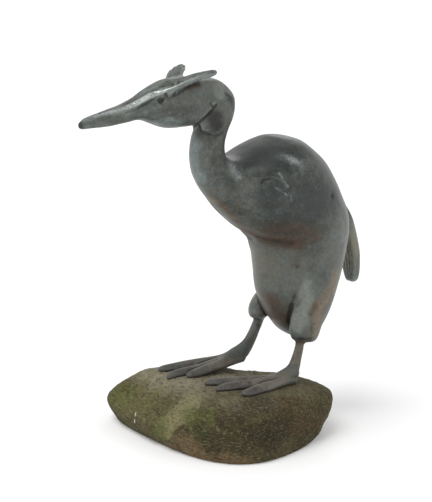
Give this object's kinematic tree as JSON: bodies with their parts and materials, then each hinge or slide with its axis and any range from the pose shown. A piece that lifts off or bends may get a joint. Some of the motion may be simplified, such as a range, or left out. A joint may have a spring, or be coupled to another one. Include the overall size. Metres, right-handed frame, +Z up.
{
  "type": "cast metal grebe figure on a natural boulder",
  "caption": "Stylised crested water bird in patinated cast metal, neck drawn forward, standing on webbed feet on a rounded natural boulder.",
  "frame": {"origin": "on the flat underside of the boulder, about under the bird's breast", "axes": "+Z up; the bird faces -Y and its left side is toward +X"},
  "size_m": [0.2956, 0.497, 0.5375],
  "materials": {
    "bronze": "cast bronze with a worn grey-green patina, rust-brown stains and a low sheen",
    "stone": "rough weathered stone with olive moss and brown earth stains"
  },
  "bodies": {
    "root": {"grebe": "bronze", "boulder": "stone"}
  },
  "joints": []
}
